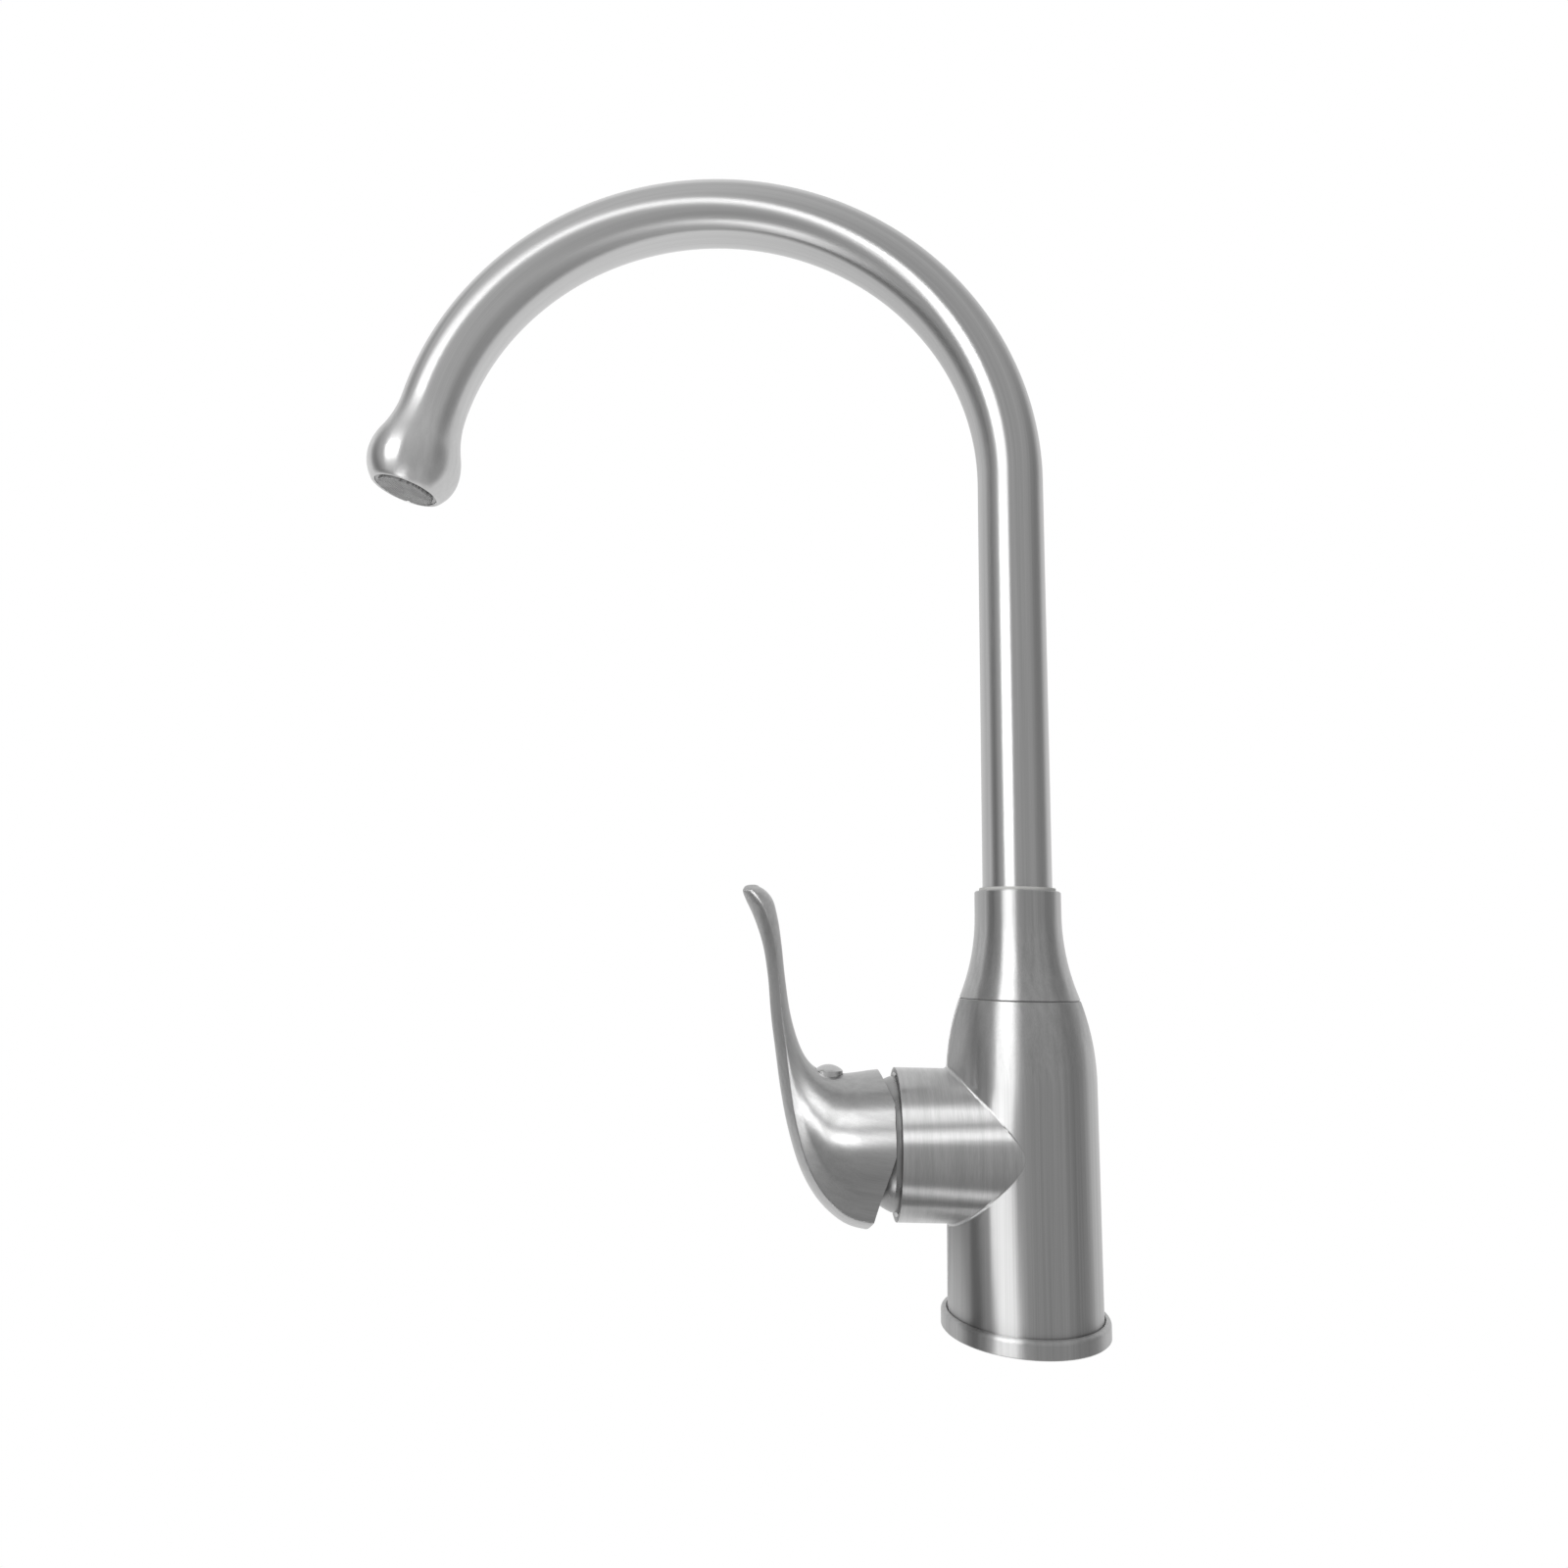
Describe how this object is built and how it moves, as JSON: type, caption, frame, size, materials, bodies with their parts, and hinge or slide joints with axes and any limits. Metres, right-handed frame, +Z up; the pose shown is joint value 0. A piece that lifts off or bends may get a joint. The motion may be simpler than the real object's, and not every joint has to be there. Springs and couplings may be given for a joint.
{
  "type": "gooseneck bar faucet",
  "caption": "Gooseneck bar faucet: swivelling half-round spout with a bell-shaped mouth on a bottle-shaped tower, and a curved mixing lever on a short side boss.",
  "frame": {"origin": "centre of the base ring's bore in the plane of its underside, which lies on the deck", "axes": "+Z up the tower's axis, -Y towards the spout's mouth, the valve boss and the lever, X = 0 is the mirror plane"},
  "size_m": [0.05, 0.2464, 0.3843],
  "materials": {
    "brushed_steel": "brushed lengthwise, satin",
    "bright_steel": "fine turned, nearly bright",
    "plain_steel": "machined",
    "screen_steel": "perforated sheet",
    "brass": "machined",
    "rubber": "matte",
    "nylon": "moulded, natural white",
    "acetal": "moulded, grey",
    "aerator_plastic": "moulded, grey",
    "ceramic": null
  },
  "bodies": {
    "tower": {"base_ring": "brushed_steel", "base_seal": "rubber", "faucet_body": "brushed_steel", "spout_collar": "brushed_steel", "riser_bush": "nylon", "thrust_washer": "nylon", "cartridge_housing": "acetal", "cartridge_base": "acetal", "port_seals": "rubber", "disc_seals": "rubber", "fixed_disc": "ceramic", "retaining_nut": "brass", "trim_cap": "bright_steel"},
    "spout": {"spout_tube": "brushed_steel", "spout_fitting": "brass", "spout_o_rings": "rubber", "aerator_shell": "bright_steel", "aerator_grid": "aerator_plastic", "aerator_screen": "screen_steel", "aerator_diffuser": "aerator_plastic", "aerator_gasket": "rubber"},
    "valve_rotor": {"rotor": "acetal", "stem_pin": "plain_steel"},
    "sliding_disc": {"moving_disc": "ceramic", "disc_driver": "acetal"},
    "lever": {"lever_stem": "plain_steel", "lever_handle": "brushed_steel", "grub_screw": "plain_steel", "index_button": "bright_steel"}
  },
  "joints": [
    {"name": "spout_swivel", "type": "hinge", "parent": "tower", "child": "spout", "pos_m": [0, 0, 0.1], "axis": [0, 0, 1], "continuous": true},
    {"name": "temperature_turn", "type": "hinge", "parent": "tower", "child": "valve_rotor", "pos_m": [0, 0, 0.0526], "axis": [0, -1, 0], "range_deg": [-45, 45]},
    {"name": "lever_lift", "type": "hinge", "parent": "valve_rotor", "child": "lever", "pos_m": [0, -0.033, 0.0526], "axis": [1, 0, 0], "range_deg": [0, 20]},
    {"name": "disc_slide", "type": "slide", "parent": "valve_rotor", "child": "sliding_disc", "axis": [0, 0, 1], "range_m": [0, 0.0042]}
  ],
  "couplings": [
    {"joint": "disc_slide", "follows": "lever_lift", "m_per_rad": 0.012}
  ]
}
